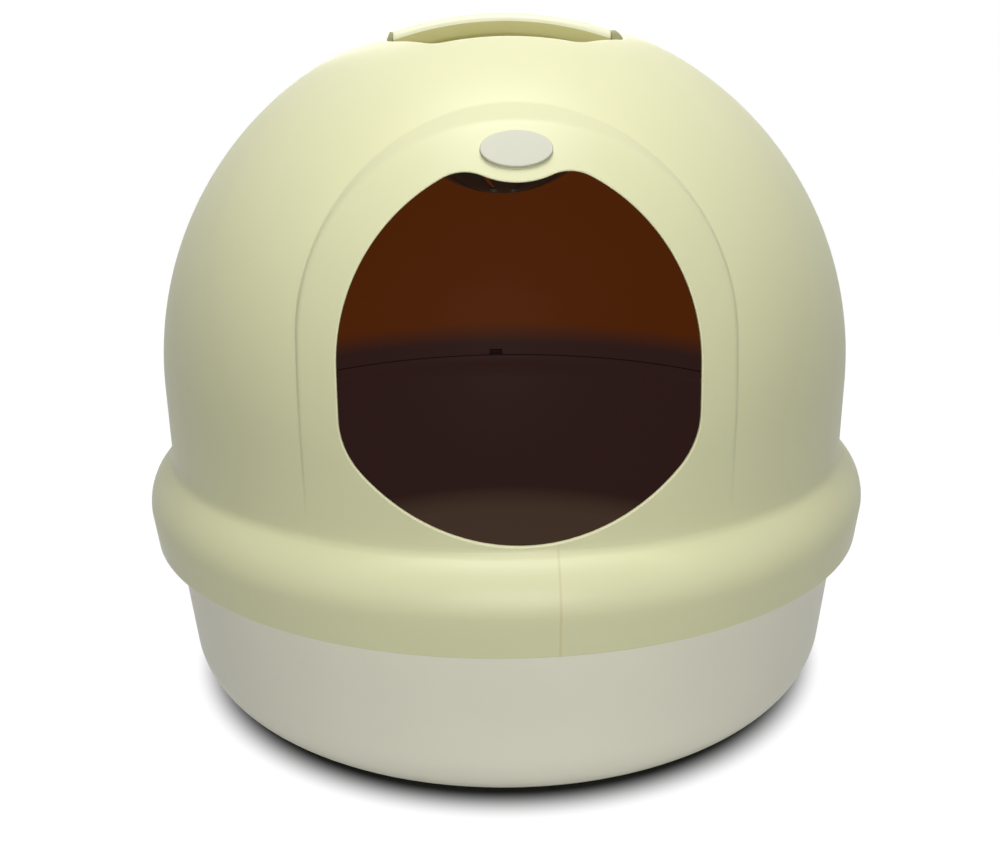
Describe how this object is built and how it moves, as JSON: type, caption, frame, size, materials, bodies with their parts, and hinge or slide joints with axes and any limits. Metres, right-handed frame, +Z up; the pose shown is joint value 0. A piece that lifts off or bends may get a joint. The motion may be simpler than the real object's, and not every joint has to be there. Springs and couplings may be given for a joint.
{
  "type": "hooded litter box",
  "caption": "Round hooded litter box: a pan under a lift-off dome with a front entry, a skirt band, a handle well and a slotted filter basket.",
  "frame": {"origin": "on the floor under the middle of the pan", "axes": "+Z up, the entry faces -Y"},
  "size_m": [0.572, 0.5718, 0.506],
  "materials": {
    "hood_plastic": "pearl satin, pale champagne",
    "pan_plastic": "satin, pale warm grey",
    "badge_plastic": "satin, pale warm grey",
    "basket_plastic": "satin, dark charcoal",
    "carbon_pad": "black fibre pad"
  },
  "bodies": {
    "pan": {"litter_pan": "pan_plastic"},
    "hood": {"dome_hood": "hood_plastic", "carry_handle": "hood_plastic", "oval_badge": "badge_plastic"},
    "filter": {"filter_basket": "basket_plastic", "carbon_filter": "carbon_pad"}
  },
  "joints": [
    {"name": "hood_lift", "type": "slide", "parent": "pan", "child": "hood", "axis": [0, 0, 1], "range_m": [0, 0.09]},
    {"name": "basket_drop", "type": "slide", "parent": "hood", "child": "filter", "axis": [0, 0, -1], "range_m": [0, 0.03]}
  ]
}
